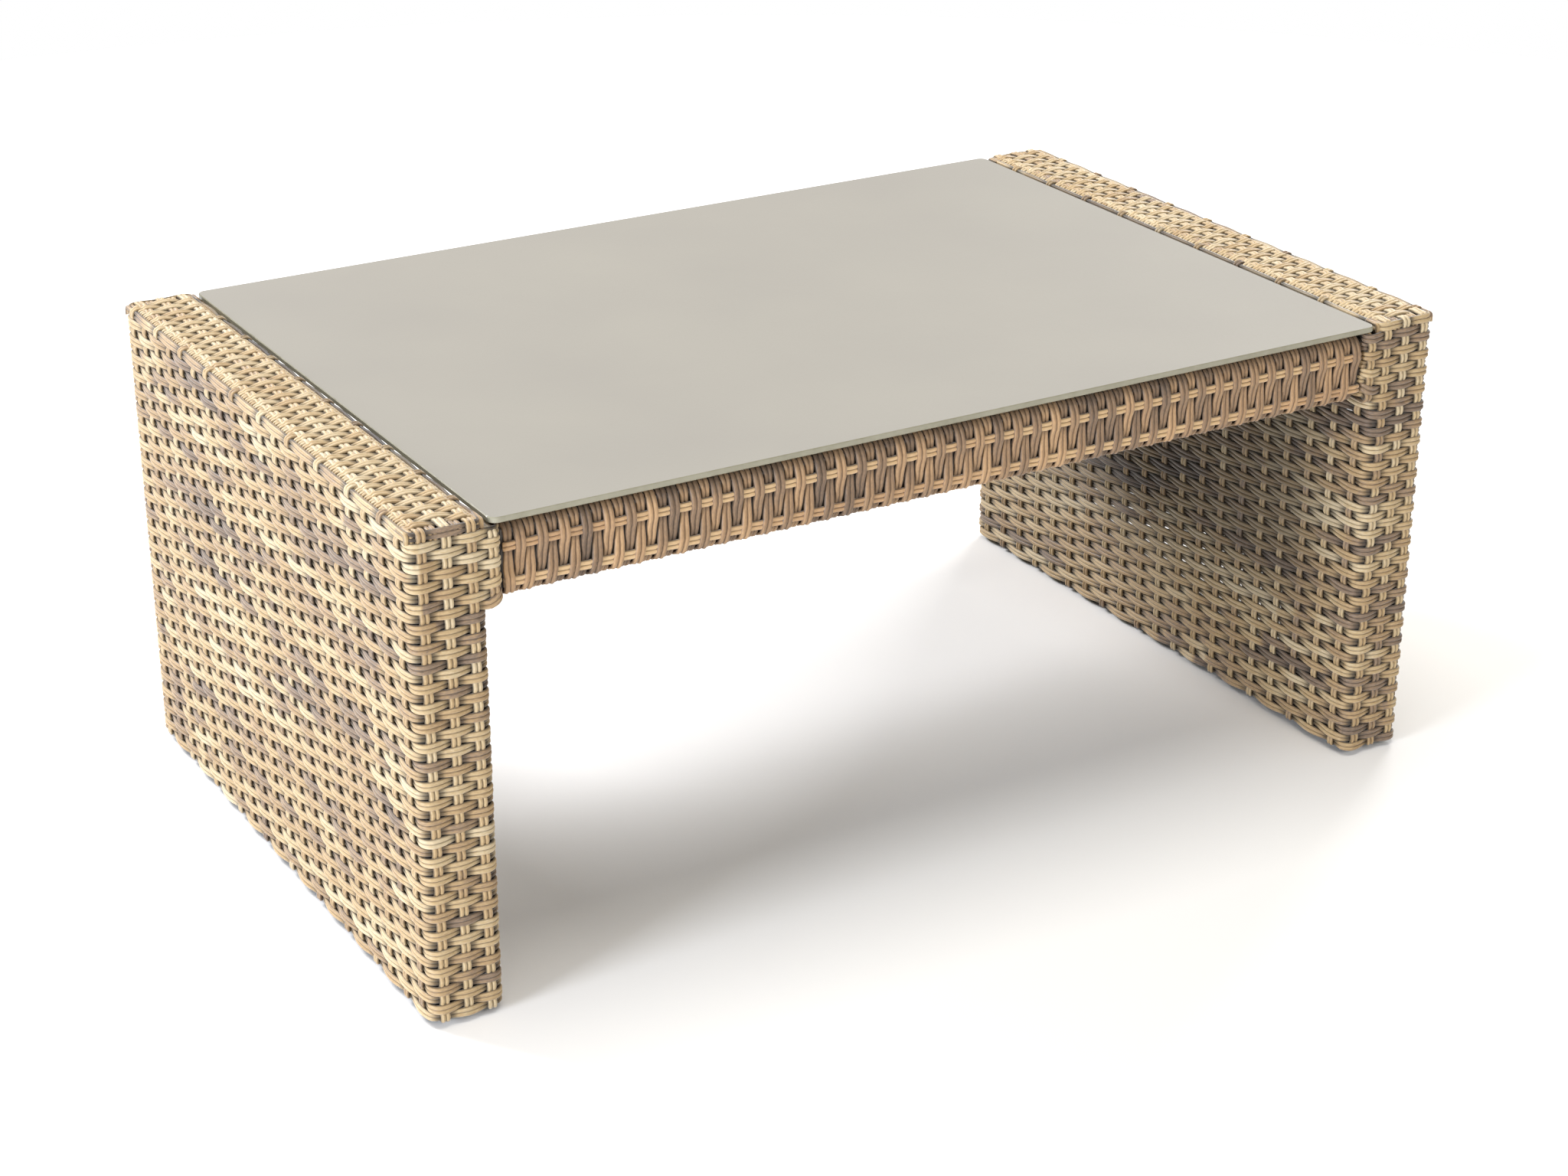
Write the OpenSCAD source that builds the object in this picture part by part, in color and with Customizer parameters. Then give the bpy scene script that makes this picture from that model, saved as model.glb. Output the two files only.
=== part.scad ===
// Wicker coffee table: two woven slab sides, woven front and back aprons, and a loose glass top.
// Millimetres. The origin is on the floor, midway between the sides and midway front to back.
// +X runs along the table, -Y faces the front, and +Z is up.

/* [Table] */
// Width over both side panels
table_w = 1000; // [800:10:1200]
// Depth from front to back
table_d = 620; // [500:10:760]
// Height of the side panels
table_h = 430; // [380:5:480]

/* [Side panels] */
// Thickness of a side panel over its weave
panel_t = 68; // [64:1:80]
// Thickness of the woven skin on a panel
panel_skin = 5; // [4:0.5:6]
// Radius of a panel's upright corners
corner_r = 12; // [10:1:16]
// Radius along a panel's top edges
top_edge_r = 10; // [9:1:12]
// Height of the cap that is woven over the top
cap_h = 14; // [13:1:20]
// Height of the weave's lower edge above the floor
weave_lift = 5; // [4:1:8]

/* [Frame] */
// Wall of every frame tube
tube_wall = 1.5; // [1.2:0.1:2]
// Width of the panel tubes, across the panel
frame_w = 54; // [48:1:54]
// Other side of the panel tubes
frame_t = 25; // [20:1:30]
// Clear space between a panel's frame and its front or back weave
frame_clear = 4; // [4:1:8]
// Outer corner radius of the tubes
tube_r = 2; // [1:0.5:3]

/* [Aprons] */
// Height of the apron tube
rail_h = 50; // [40:5:60]
// Thickness of the apron tube
rail_t = 20; // [20:5:30]
// Thickness of the woven skin on an apron
apron_skin = 5; // [5:0.5:7]
// Radius of the apron's long edges over the weave
apron_r = 8; // [6:1:9]
// How far a stub stands out from its panel
stub_len = 12; // [10:1:24]
// Seam between a stub and its apron
seam = 1; // [0.5:0.5:2]
// Length of spigot inside the apron
spigot_reach = 44; // [40:1:60]
// Slack between a spigot and its tube, on each side
spigot_slack = 0.2; // [0.1:0.05:0.4]

/* [Glass] */
// Thickness of the glass
glass_t = 5; // [5:1:8]
// Drop from the panel tops to the glass
glass_drop = 3; // [2:1:6]
// Gap between the glass and each panel
glass_gap = 2; // [1:0.5:4]
// How far the glass stays behind the panels' front faces
glass_setback = 1; // [0:0.5:5]
// Radius of the glass corners
glass_r = 8; // [5:1:20]
// Distance from the apron's top to the glass
glass_lift = 4; // [3:0.5:8]
// Diameter of a bumper
bumper_d = 12; // [8:1:16]

/* [Fasteners and feet] */
// Nominal diameter of the apron bolts
bolt_d = 6; // [5:1:6]
// Distance between the two bolts of a joint
bolt_pitch = 22; // [20:1:24]
// Diameter of the washers
washer_d = 18; // [14:1:18]
// How far a washer sits below the face of the apron's weave
washer_sink = 2.4; // [0:0.2:4]
// Diameter of a foot glide
glide_d = 28; // [20:1:40]
// Height of a foot glide
glide_h = 3; // [2:1:4]

/* [Hidden] */
$fn = 64;
LEFT = -1;
RIGHT = 1;
FRONT = -1;
BACK = 1;
EPS = 0.01;

// Panel and frame
panel_x = table_w / 2 - panel_t / 2;
panel_inner_x = table_w / 2 - panel_t;
cap_z = table_h - cap_h;
frame_end_y = table_d / 2 - panel_skin - frame_clear;
frame_top_z = table_h - panel_skin - 2;
bottom_rail_z = glide_h;
post_z = bottom_rail_z + frame_t;
post_h = frame_top_z - frame_t - post_z;

// Aprons, which sit under the glass
glass_z = table_h - glass_drop - glass_t;
apron_h = rail_h + 2 * apron_skin;
apron_t = rail_t + 2 * apron_skin;
apron_top_z = glass_z - glass_lift;
apron_z = apron_top_z - apron_h / 2;
apron_y = frame_end_y - rail_t / 2;
stub_end_x = panel_inner_x - stub_len;
apron_end_x = stub_end_x - seam;
stub_root_x = panel_x - frame_w / 2;
window_slack = 0.5;

// Spigot and bolts
spigot_h = rail_h - 2 * tube_wall - 2 * spigot_slack;
spigot_t = rail_t - 2 * tube_wall - 2 * spigot_slack;
spigot_tip_x = apron_end_x - spigot_reach;
spigot_root_x = stub_root_x - 0.5;
bolt_mid_x = apron_end_x - spigot_reach / 2 + 1;
bolt_xs = [bolt_mid_x - bolt_pitch / 2, bolt_mid_x + bolt_pitch / 2];
thread_slack = 0.05;
washer_t = 1.6;
washer_slack = 0.2;
head_d = bolt_d * 1.75;
head_h = bolt_d * 0.55;
socket_af = 4;
socket_depth = 2;

// Distances along a bolt's axis, outwards from the middle of the apron
weave_in = -apron_t / 2;
washer_out = weave_in + washer_sink;
head_out = washer_out - washer_t;
bolt_tip = 5;

// Glass, bumpers and glides
glass_w = 2 * (panel_inner_x - glass_gap);
glass_d = table_d - 2 * glass_setback;
bumper_air = 0.3;
bumper_h = glass_lift - bumper_air;
bumper_count = 5;
bumper_span = 2 * (apron_end_x - 16);
glide_y = frame_end_y - 31;
stem_d = 8;
stem_slack = 0.1;
stem_h = 9;

// Colours
STRAW = "#D6BF94";
PALE_STRAW = "#E2D3B4";
CANE = "#B39470";
FRAME_GREY = "#4A443D";
STEEL = "#C4C6C8";
GLASS_GREY = "#C9C5BB";
CLEAR = "#E8ECEA";
BLACK = "#26241F";

// ---- Shapes shared by the parts ----

// Rectangle centred on the origin, with round corners.
module round_rect(w, h, r) {
    square([w - 2 * r, h], center = true);
    square([w, h - 2 * r], center = true);
    for (sx = [-1, 1])
        for (sy = [-1, 1])
            translate([sx * (w / 2 - r), sy * (h / 2 - r)])
                circle(r = r);
}

// Outline that stands on the X axis, with its two top corners round.
module arch(half_w, top, r) {
    translate([-half_w, 0])
        square([2 * half_w, top - r]);
    translate([r - half_w, 0])
        square([2 * (half_w - r), top]);
    for (s = [-1, 1])
        translate([s * (half_w - r), top - r])
            circle(r = r);
}

// Rectangular tube along Z, centred on the axis.
module tube(w, h, len) {
    linear_extrude(height = len)
        difference() {
            round_rect(w, h, tube_r);
            square([w - 2 * tube_wall, h - 2 * tube_wall], center = true);
        }
}

// Moves a piece from the left front corner to the corner that is asked for.
module at_corner(side, end) {
    mirror([side == RIGHT ? 1 : 0, 0, 0])
        mirror([0, end == BACK ? 1 : 0, 0])
            children();
}

// Places a piece on the middle of one panel.
module on_panel(side) {
    translate([side * panel_x, 0, 0])
        children();
}

// Turns a piece drawn along Z so that it runs along +X from x0, with its Y up.
module along_x(x0, y, z) {
    translate([x0, y, z])
        rotate([90, 0, 90])
            children();
}

// Turns a piece drawn along Z so that it points out of one apron, from the apron's middle.
module through_apron(x, end) {
    translate([x, end * apron_y, apron_z])
        rotate([-90 * end, 0, 0])
            children();
}

// Repeats a piece at each of the four bolts of one apron.
module at_apron_bolts(end) {
    for (side = [LEFT, RIGHT])
        for (x = bolt_xs)
            through_apron(side * x, end)
                children();
}

// ---- Side panels ----

// Solid form of one panel, with `inset` taken off its sides and its top.
module panel_form(inset) {
    half_x = panel_t / 2 - inset;
    half_y = table_d / 2 - inset;
    top = table_h - inset;
    intersection() {
        linear_extrude(height = top)
            round_rect(2 * half_x, 2 * half_y, corner_r - inset);
        rotate([90, 0, 0])
            linear_extrude(height = 2 * half_y, center = true)
                arch(half_x, top, top_edge_r - inset);
        rotate([90, 0, 90])
            linear_extrude(height = 2 * half_x, center = true)
                arch(half_y, top, top_edge_r - inset);
    }
}

// Woven skin of one panel between two heights.
module panel_skin_between(z0, z1) {
    intersection() {
        difference() {
            panel_form(0);
            panel_form(panel_skin);
        }
        translate([-panel_t, -table_d, z0])
            cube([2 * panel_t, 2 * table_d, z1 - z0]);
    }
}

// Strands woven round the four upright faces. A window lets each stub tube through to its post.
module panel_weave(side) {
    color(side == LEFT ? PALE_STRAW : STRAW)
        difference() {
            on_panel(side)
                panel_skin_between(weave_lift, cap_z);
            for (end = [FRONT, BACK])
                at_corner(side, end)
                    along_x(-stub_root_x, -apron_y, apron_z)
                        linear_extrude(height = stub_root_x - panel_inner_x + EPS)
                            square([rail_t + 2 * window_slack, rail_h + 2 * window_slack], center = true);
        }
}

// Cap woven over the top of a panel, down to the border strand.
module cap_weave(side) {
    color(STRAW)
        on_panel(side)
            panel_skin_between(cap_z, table_h);
}

// Lower frame tube, with a hole in its underside for each glide's stem.
module bottom_rail(side) {
    color(FRAME_GREY)
        on_panel(side)
            difference() {
                translate([0, frame_end_y, bottom_rail_z + frame_t / 2])
                    rotate([90, 0, 0])
                        tube(frame_w, frame_t, 2 * frame_end_y);
                for (end = [FRONT, BACK])
                    translate([0, end * glide_y, bottom_rail_z - 1])
                        cylinder(d = stem_d + 2 * stem_slack, h = tube_wall + 2);
            }
}

// Upper frame tube.
module top_rail(side) {
    color(FRAME_GREY)
        on_panel(side)
            translate([0, frame_end_y, frame_top_z - frame_t / 2])
                rotate([90, 0, 0])
                    tube(frame_w, frame_t, 2 * frame_end_y);
}

// Upright tube between the two rails.
module post(side, end) {
    color(FRAME_GREY)
        on_panel(side)
            translate([0, end * (frame_end_y - frame_t / 2), post_z])
                tube(frame_w, frame_t, post_h);
}

// Plastic glides with stems that push into the bottom rail.
module foot_glides(side) {
    color(BLACK)
        on_panel(side)
            for (end = [FRONT, BACK])
                translate([0, end * glide_y, 0]) {
                    cylinder(d = glide_d, h = glide_h);
                    cylinder(d = stem_d, h = glide_h + stem_h);
                }
}

// ---- Joints between panels and aprons ----

// Short tube welded to a post, which the apron meets.
module stub(side, end) {
    color(FRAME_GREY)
        at_corner(side, end)
            along_x(-stub_root_x, -apron_y, apron_z)
                tube(rail_t, rail_h, stub_root_x - stub_end_x);
}

// Solid bar held in the stub, which slides into the apron's tube.
module spigot(side, end) {
    color(STEEL)
        at_corner(side, end)
            difference() {
                along_x(-spigot_root_x, -apron_y, apron_z)
                    linear_extrude(height = spigot_root_x - spigot_tip_x)
                        square([spigot_t, spigot_h], center = true);
                for (x = bolt_xs)
                    through_apron(-x, FRONT)
                        translate([0, 0, weave_in])
                            cylinder(d = bolt_d + 2 * thread_slack, h = apron_t);
            }
}

// Woven cover of a stub.
module stub_weave(side, end) {
    color(STRAW)
        at_corner(side, end)
            along_x(-panel_inner_x, -apron_y, apron_z)
                linear_extrude(height = stub_len)
                    difference() {
                        round_rect(apron_t, apron_h, apron_r);
                        square([rail_t, rail_h], center = true);
                    }
}

// ---- Aprons ----

// Apron tube, with clearance holes for the bolts in its inner face.
module apron_rail(end) {
    color(FRAME_GREY)
        difference() {
            along_x(-apron_end_x, end * apron_y, apron_z)
                tube(rail_t, rail_h, 2 * apron_end_x);
            at_apron_bolts(end)
                translate([0, 0, weave_in])
                    cylinder(d = bolt_d + 0.6, h = apron_skin + tube_wall + 1);
        }
}

// Strands wrapped round an apron tube. Each washer lies on the wraps, below the runners beside it.
module apron_weave(end) {
    color(CANE)
        difference() {
            along_x(-apron_end_x, end * apron_y, apron_z)
                linear_extrude(height = 2 * apron_end_x)
                    difference() {
                        round_rect(apron_t, apron_h, apron_r);
                        square([rail_t, rail_h], center = true);
                    }
            at_apron_bolts(end) {
                translate([0, 0, weave_in - 1])
                    cylinder(d = bolt_d + 1, h = apron_skin + 2);
                translate([0, 0, weave_in - 1])
                    cylinder(d = washer_d + 2 * washer_slack, h = washer_sink + 1);
            }
        }
}

// Button-head bolt with a hexagon socket, with its head towards -Z.
module button_bolt() {
    difference() {
        union() {
            translate([0, 0, head_out - head_h])
                cylinder(d1 = head_d * 0.62, d2 = head_d, h = head_h * 0.6);
            translate([0, 0, head_out - head_h * 0.4])
                cylinder(d = head_d, h = head_h * 0.4);
            translate([0, 0, head_out - EPS])
                cylinder(d = bolt_d, h = bolt_tip - head_out + EPS);
        }
        translate([0, 0, head_out - head_h - 1])
            cylinder(d = socket_af / cos(30), h = socket_depth + 1, $fn = 6);
    }
}

// Flat washer under a bolt's head.
module washer() {
    translate([0, 0, head_out])
        difference() {
            cylinder(d = washer_d, h = washer_t);
            translate([0, 0, -1])
                cylinder(d = bolt_d + 2 * washer_slack, h = washer_t + 2);
        }
}

// Bolts that enter the aprons from inside the table.
module apron_bolts() {
    color(STEEL)
        for (end = [FRONT, BACK])
            at_apron_bolts(end)
                button_bolt();
}

// Washers that spread each bolt's load over the strands.
module apron_washers() {
    color(STEEL)
        for (end = [FRONT, BACK])
            at_apron_bolts(end)
                washer();
}

// ---- Glass top ----

// Clear bumpers along both aprons, which the glass rests on.
module glass_bumpers() {
    color(CLEAR)
        for (end = [FRONT, BACK])
            for (i = [0 : bumper_count - 1])
                translate([(i / (bumper_count - 1) - 0.5) * bumper_span, end * apron_y, apron_top_z])
                    cylinder(d = bumper_d, h = bumper_h);
}

// Loose sheet of glass with round corners.
module glass_top() {
    color(GLASS_GREY)
        translate([0, 0, glass_z])
            linear_extrude(height = glass_t)
                round_rect(glass_w, glass_d, glass_r);
}

// ---- Nodes ----

bottom_rail(LEFT);  // left_bottom_rail
top_rail(LEFT);  // left_top_rail
post(LEFT, FRONT);  // left_front_post
post(LEFT, BACK);  // left_back_post
stub(LEFT, FRONT);  // left_front_stub
stub(LEFT, BACK);  // left_back_stub
spigot(LEFT, FRONT);  // left_front_spigot
spigot(LEFT, BACK);  // left_back_spigot
panel_weave(LEFT);  // left_panel_weave
cap_weave(LEFT);  // left_cap_weave
stub_weave(LEFT, FRONT);  // left_front_stub_weave
stub_weave(LEFT, BACK);  // left_back_stub_weave
foot_glides(LEFT);  // left_foot_glides
bottom_rail(RIGHT);  // right_bottom_rail
top_rail(RIGHT);  // right_top_rail
post(RIGHT, FRONT);  // right_front_post
post(RIGHT, BACK);  // right_back_post
stub(RIGHT, FRONT);  // right_front_stub
stub(RIGHT, BACK);  // right_back_stub
spigot(RIGHT, FRONT);  // right_front_spigot
spigot(RIGHT, BACK);  // right_back_spigot
panel_weave(RIGHT);  // right_panel_weave
cap_weave(RIGHT);  // right_cap_weave
stub_weave(RIGHT, FRONT);  // right_front_stub_weave
stub_weave(RIGHT, BACK);  // right_back_stub_weave
foot_glides(RIGHT);  // right_foot_glides
apron_rail(FRONT);  // front_apron_rail
apron_rail(BACK);  // back_apron_rail
apron_weave(FRONT);  // front_apron_weave
apron_weave(BACK);  // back_apron_weave
apron_bolts();
apron_washers();
glass_bumpers();
glass_top();
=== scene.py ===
"""Wicker coffee table: woven covers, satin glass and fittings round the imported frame."""
import math

import bmesh
import bpy
import numpy as np
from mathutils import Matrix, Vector


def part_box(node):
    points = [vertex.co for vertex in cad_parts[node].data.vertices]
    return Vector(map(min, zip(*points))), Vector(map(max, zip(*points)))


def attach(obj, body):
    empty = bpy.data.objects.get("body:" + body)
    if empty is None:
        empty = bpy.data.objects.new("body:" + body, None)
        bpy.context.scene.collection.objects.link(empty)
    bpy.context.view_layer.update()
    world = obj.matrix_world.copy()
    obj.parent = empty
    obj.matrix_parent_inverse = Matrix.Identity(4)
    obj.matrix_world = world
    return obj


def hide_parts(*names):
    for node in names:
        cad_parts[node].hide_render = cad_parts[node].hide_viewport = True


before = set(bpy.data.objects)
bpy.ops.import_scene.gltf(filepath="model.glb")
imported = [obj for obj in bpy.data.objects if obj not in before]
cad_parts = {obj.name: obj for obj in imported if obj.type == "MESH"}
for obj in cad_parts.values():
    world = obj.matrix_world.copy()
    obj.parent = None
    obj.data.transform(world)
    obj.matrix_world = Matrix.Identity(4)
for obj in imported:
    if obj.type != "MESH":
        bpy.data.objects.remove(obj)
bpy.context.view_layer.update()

MM = 0.001
FRONT, BACK = -1, 1
LEFT, RIGHT = -1, 1
END_NAMES = {FRONT: "front", BACK: "back"}
SIDE_NAMES = {LEFT: "left", RIGHT: "right"}


def box_mm(node):
    """Lowest and highest corner of a CAD node, in millimetres."""
    low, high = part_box(node)
    return np.array(low) / MM, np.array(high) / MM


# ---- Sizes taken from the frame, in millimetres ----
panel_low, panel_high = box_mm("right_panel_weave")
_, cap_high = box_mm("right_cap_weave")
stub_low, stub_high = box_mm("right_front_stub_weave")
apron_low, apron_high = box_mm("front_apron_weave")
rail_low, rail_high = box_mm("front_apron_rail")
bumper_low, bumper_high = box_mm("glass_bumpers")

PANEL_X = (panel_low[0] + panel_high[0]) / 2
PANEL_HALF = (panel_high[0] - panel_low[0]) / 2
END_Y = panel_high[1]
TOP_Z = cap_high[2]
FOOT_Z = panel_low[2]
# Radii of a panel's upright corners, and of its top edges at the front and the back.
CORNER_R = 12.0
TOP_EDGE_R = 6.5

# ---- The strand: two half-round ribs side by side on a flat back ----
STRAND_W = 8.0
# Heights of the ribs, the back and the floor of the groove, from the strand's middle.
RIB_TOP = 1.5
BACK_FLAT = -1.0
GROOVE_FLOOR = -0.2
# Where a rib's points lie round it, in degrees, and how round it is: below 1 is fuller than a circle.
RIB_ANGLES = (180, 145, 108, 72, 38)
RIB_FULLNESS = 0.7

# Metres from one strand to the next in the space of the pattern, so that no two look alike.
PATTERN_STEP = 3.7

# ---- The weave ----
# Depth of the weave's middle under the face, and its distance from a panel's middle.
SKIN = RIB_TOP + 1.5
LEVEL = PANEL_HALF - SKIN
# How far rows and stakes swing out and in where they cross, and the part by which a row narrows.
WEFT_SWING = 1.9
STAKE_SWING = 1.15
PINCH = 0.15
# A stake lies flatter over a row than a sine wave does.
STAKE_FLATNESS = 0.8
# Rows round a panel.
ROWS = 51
ROW_W = 8.5
ROW_TOP_Z = TOP_Z - 6.3
ROW_LOW_Z = FOOT_Z + 4.0
# The top row leans in and swings less, because it holds down the ends of the top.
TOP_ROW_LEAN = math.radians(12)
TOP_ROW_DIP = 0.4
TOP_ROW_RISE = 0.7
TOP_ROW_SINK = 0.3
# Stakes on a panel's ends, from its middle, and on its broad faces.
END_STAKES = (20.4, 0.0, -20.4)
SIDE_STAKES = 20
SIDE_STAKE_Y = END_Y - 22.1
# A side stake's foot stands this many rows below the last row's middle.
STAKE_FOOT = 0.42
SIDE_STAKE_W = STRAND_W - 0.1
ARCH_STAKE_W = STRAND_W + 0.2
# Strands across the top.
TOP_WEFTS = 68
TOP_WEFT_Y = END_Y - 16.3
TOP_WEFT_W = STRAND_W + 0.55
TOP_SWING = WEFT_SWING - 0.3
TOP_WEFT_INSET = 2.5
TOP_WEFT_R = 4.5
# How far in from their bends they start to go over and under, and how their ends tuck in below.
TOP_WEFT_CROSSING = 5.5
TUCK_IN = 2.4
TUCK_BEND_DOWN = 4
TUCK_END_DOWN = 7.5
TUCK_R = 4
# Rows that also run round the stubs. The last of them slopes up to the apron's foot.
LAST_STUB_ROW = 8
STUB_ROWS = range(1, LAST_STUB_ROW + 1)
STUB_RUN = 12
STUB_RISE = 7.0
RING_RISE = 3.0
STUB_END_OUT = 1.0
STUB_R = 5.4
STUB_ROOT_R = 4
RING_STAKE_X = PANEL_X - (stub_low[0] + 8.0)
RING_STAKE_R = 5.5
RING_OVER_APRON = 1.5
RING_UNDER_ROW = 1.2
# How proud an arch stake stays as it turns over a top edge.
EDGE_DEPTH = 0.6
# Short strands between the arch stakes, over the front and back top edges.
FILLER_PLACES = (-28.6, -10.2, 10.2, 28.6)
FILLER_LENGTH = 23
FILLER_SINK = 0.9
FILLER_W = STRAND_W + 0.4
FILLER_FOOT_DOWN = 5
# The outer ones stand further in, where the panel's corner is round.
FILLER_CORNER_FROM = 20
FILLER_CORNER_IN = 1.6
FILLER_DYE = 60
# A tie's end bends over on a hub in and down from the panel's top edge: angles and reaches from it.
TIE_HUB_IN = 10.0
TIE_HUB_DOWN = 7.6
TIE_BEND = ((37, 12.3), (49, 11.2), (61, 9.5), (74, 7.0))

# ---- Painted shade in the dim space under the glass: where it sets in, where it is full, and how dark it is ----
DIM_Z = (60, 190)
DIM_Y = (END_Y - 10, 190)
ROW_PAINTED_SHADE = 0.76
STAKE_PAINTED_SHADE = 0.45
# How squarely a row has to face the inner side for the painted shade to begin, and to be full.
INNER_FACING = (0.3, 0.9)

# ---- Drift: how far a strand wanders, and how often it turns ----
ROW_DRIFT = (0.28, 34)
ROW_SWING_DRIFT = (0.12, 50)
STAKE_DRIFT = (0.5, 45)
ARCH_DRIFT = (0.4, 60)
TOP_DRIFT = (0.35, 30)
TOP_SWING_DRIFT = (0.1, 30)
RUNNER_DRIFT = (0.3, 40)

# ---- Dye: a strand is dyed in runs of one tone ----
# How pale each kind of strand is, from 0 to 1.
USUAL_PALE = 0.58
ARCH_PALE = 0.7
FILLER_PALE = 0.5
TOP_PALE = 0.68
WRAP_PALE = 0.5
RUNNER_PALE = 0.75
# How closely tones keep to their middle, along one strand and from row to row.
TONE_CLOSENESS = 2.2
ROW_TONE_CLOSENESS = 1.9
# Shortest and longest run, and the usual one.
RUN_SHORTEST, RUN_LONGEST, RUN_USUAL = 28, 120, 60
ROW_RUN = 62
# From row to row a run moves on, unevenly. Some runs start afresh and the others change a little.
RUN_SHIFT, RUN_SCATTER = 17, 16
FRESH_SHARE = 0.5
TONE_CHANGE = 0.10
# Length of strand that a stake's runs of dye are dealt over.
STAKE_DYE = 500
# The strands across the top are paler and more even than the rest.
TOP_DYE = 300
TOP_TONE_LOW, TOP_TONE_RANGE = 0.45, 0.5

# ---- Rings of points along a strand: for each crossing, and for each radian of bend ----
ROW_RINGS = (4.6, 3.4)
ARCH_RINGS = (4.0, 3.0)
TOP_RINGS = (5.0, 3.0)
LONGEST_STEP = 60.0
ARC_POINTS = 13


# ---- Paths ----

def unit(v):
    """Vectors of length 1 in the directions of v."""
    return v / np.linalg.norm(v, axis=-1, keepdims=True)


class Outline:
    """A run of straights and arcs in a plane, measured along its length."""

    def __init__(self, corners, radii, closed=True, outward=1):
        corners = np.array(corners, float)
        count = len(corners)
        points, normals = [], []
        for i in range(count):
            if not closed and i in (0, count - 1):
                ahead = unit(corners[1] - corners[0]) if i == 0 else unit(corners[-1] - corners[-2])
                points.append(corners[i])
                normals.append([-ahead[1], ahead[0]])
                continue
            into = unit(corners[i] - corners[i - 1])
            out = unit(corners[(i + 1) % count] - corners[i])
            turn = math.atan2(into[0] * out[1] - into[1] * out[0], into @ out)
            cut = radii[i] * math.tan(abs(turn) / 2)
            start = corners[i] - into * cut
            hub = start + np.array([-into[1], into[0]]) * radii[i] * np.sign(turn)
            for t in np.linspace(0, turn, ARC_POINTS):
                c, s = math.cos(t), math.sin(t)
                ahead = np.array([into[0] * c - into[1] * s, into[0] * s + into[1] * c])
                left = np.array([-ahead[1], ahead[0]])
                points.append(hub - left * radii[i] * np.sign(turn))
                normals.append(left)
        if closed:
            points.insert(0, points[-1])
            normals.insert(0, normals[-1])
        self.points = np.array(points)
        self.normals = np.array(normals) * outward
        self.s = np.append(0, np.cumsum(np.linalg.norm(np.diff(self.points, axis=0), axis=1)))
        bend = np.einsum("ij,ij->i", self.normals[1:], self.normals[:-1])
        self.turned = np.append(0, np.cumsum(np.arccos(np.clip(bend, -1, 1))))
        self.length = self.s[-1]
        self.closed = closed

    def at(self, s):
        """Points and outward directions at distances s."""
        s = np.mod(s, self.length) if self.closed else s
        point = np.stack([np.interp(s, self.s, self.points[:, k]) for k in (0, 1)], 1)
        normal = np.stack([np.interp(s, self.s, self.normals[:, k]) for k in (0, 1)], 1)
        return point, unit(normal)

    def nearest(self, a, b):
        """Distance along the outline of the place nearest to (a, b)."""
        tries = np.arange(0, self.length, 0.1)
        point, _ = self.at(tries)
        return tries[np.argmin(np.hypot(point[:, 0] - a, point[:, 1] - b))]

    def stations(self, s, phase, per_crossing, per_turn):
        """Distances for the rings of a strand, closer together where it bends."""
        grid = np.linspace(s[0], s[-1], 4000)
        turned = np.interp(grid, self.s, self.turned)
        effort = np.abs(np.interp(grid, s, phase) - phase[0]) * per_crossing + turned * per_turn
        effort += (grid - grid[0]) / LONGEST_STEP
        count = int(math.ceil(effort[-1] - effort[0]))
        return np.interp(np.linspace(effort[0], effort[-1], count + 1), effort, grid)


def smooth(low, high, x):
    """Eases from 0 at low to 1 at high."""
    t = np.clip((x - low) / (high - low), 0, 1)
    return t * t * (3 - 2 * t)


def wander(rng, s, length, reach, every):
    """A slow sideways drift along a strand, the same at both ends."""
    count = max(4, int(length / every))
    knots = rng.uniform(-reach, reach, count)
    where = np.linspace(0, length, count, endpoint=False)
    return np.interp(s, where, knots, period=length)


def dye(rng, s, length, pale=USUAL_PALE):
    """Tone along a strand that was dyed in runs, from 0, grey-brown, to 1, cream."""
    gaps = rng.uniform(RUN_SHORTEST, RUN_LONGEST, max(4, int(length / RUN_USUAL)))
    where = np.cumsum(gaps) * length / gaps.sum()
    tones = rng.beta(TONE_CLOSENESS, TONE_CLOSENESS * (1 - pale) / pale, len(gaps))
    return np.interp(s, where, tones, period=length)


def dye_rows(rng, rows, length, pale=USUAL_PALE):
    """Tone knots for rows that one dyed strand makes, each a little behind the one above."""
    count = int(length / ROW_RUN)
    spread = (ROW_TONE_CLOSENESS, ROW_TONE_CLOSENESS * (1 - pale) / pale)
    where = np.sort(rng.uniform(0, length, count))
    tones = rng.beta(*spread, count)
    made = []
    for _ in range(rows):
        order = np.argsort(where)
        made.append((where[order], tones[order]))
        where = np.mod(where + RUN_SHIFT + rng.normal(0, RUN_SCATTER, count), length)
        fresh = rng.random(count) < FRESH_SHARE
        tones = np.clip(tones + rng.normal(0, TONE_CHANGE, count), 0, 1)
        tones[fresh] = rng.beta(*spread, int(fresh.sum()))
    return made


def over_under(phase, flatness=STAKE_FLATNESS):
    """Swing of a stake, from 1 where it lies over a row to -1 where it lies under one."""
    wave = np.cos(np.pi * phase)
    return np.sign(wave) * np.abs(wave) ** flatness


def painted_dive_lightness(wave):
    """Painted shade on a row's strand, as the part of its colour that stays: 1 where it rides over, 0 where
    it dives.
    """
    return smooth(-0.95, 0.1, wave)


# ---- Strands to mesh ----

def strand_profile():
    """Offsets across the strand, as parts of its width, and above its middle, in mm."""
    across, above = [], []
    rise = RIB_TOP - BACK_FLAT
    for middle, angles in ((-0.25, RIB_ANGLES), (0.25, [180 - a for a in reversed(RIB_ANGLES)])):
        for a in angles:
            across.append(middle + 0.25 * math.cos(math.radians(a)))
            above.append(BACK_FLAT + rise * abs(math.sin(math.radians(a))) ** RIB_FULLNESS)
        if middle < 0:
            across.append(0.0)
            above.append(GROOVE_FLOOR)
    return np.array(across), np.array(above)


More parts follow.
